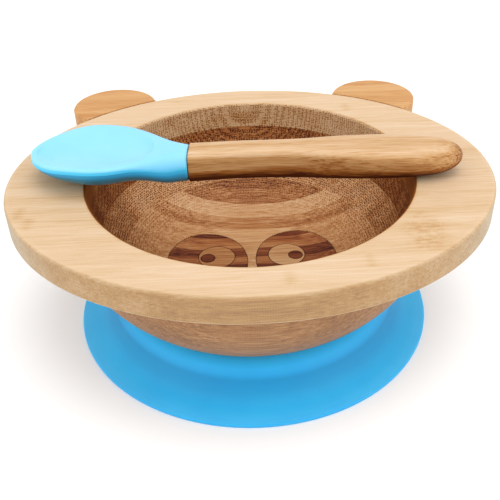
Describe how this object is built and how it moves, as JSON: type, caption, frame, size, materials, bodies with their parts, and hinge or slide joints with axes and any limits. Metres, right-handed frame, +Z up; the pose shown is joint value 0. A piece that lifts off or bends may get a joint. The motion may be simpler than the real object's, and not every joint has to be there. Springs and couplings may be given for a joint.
{
  "type": "suction bowl",
  "caption": "Round bamboo bowl with an oval rim, two ears and an inlaid face, standing in a removable silicone suction base, with a silicone-tipped bamboo spoon.",
  "frame": {"origin": "on the table, in the middle of the object's length and width; the bowl's turning axis is 3.1 mm towards -Y of it, because the ears stick out at +Y", "axes": "+Z up, +Y towards the ears at the back, X along the rim's longer width"},
  "size_m": [0.1572, 0.1394, 0.0649],
  "materials": {
    "rim_bamboo": "light natural bamboo, fine straight grain, satin",
    "ear_bamboo": "caramel bamboo, fine straight grain, satin",
    "body_bamboo": "laminated brown bamboo in light and dark strips, turned smooth, satin",
    "patch_bamboo": "dark brown bamboo in streaks, sanded flush",
    "eye_bamboo": "light bamboo, sanded flush",
    "base_silicone": "sky blue silicone, smooth satin",
    "spoon_bamboo": "natural bamboo, rounded, satin",
    "spoon_silicone": "pale blue silicone, smooth satin"
  },
  "bodies": {
    "base": {"suction_base": "base_silicone"},
    "bowl": {"rim_board": "rim_bamboo", "left_ear": "ear_bamboo", "right_ear": "ear_bamboo", "upper_bowl_board": "body_bamboo", "middle_bowl_board": "body_bamboo", "lower_bowl_board": "body_bamboo", "foot_board": "body_bamboo", "left_eye_patch": "patch_bamboo", "right_eye_patch": "patch_bamboo", "left_eyeball": "eye_bamboo", "right_eyeball": "eye_bamboo", "left_pupil": "patch_bamboo", "right_pupil": "patch_bamboo", "nose": "patch_bamboo"},
    "spoon": {"spoon_handle": "spoon_bamboo", "spoon_head": "spoon_silicone"}
  },
  "joints": [
    {"name": "bowl_lift", "type": "slide", "parent": "base", "child": "bowl", "axis": [0, 0, 1], "range_m": [0, 0.06]},
    {"name": "spoon_lift", "type": "slide", "parent": "bowl", "child": "spoon", "axis": [0, 0, 1], "range_m": [0, 0.08]}
  ]
}
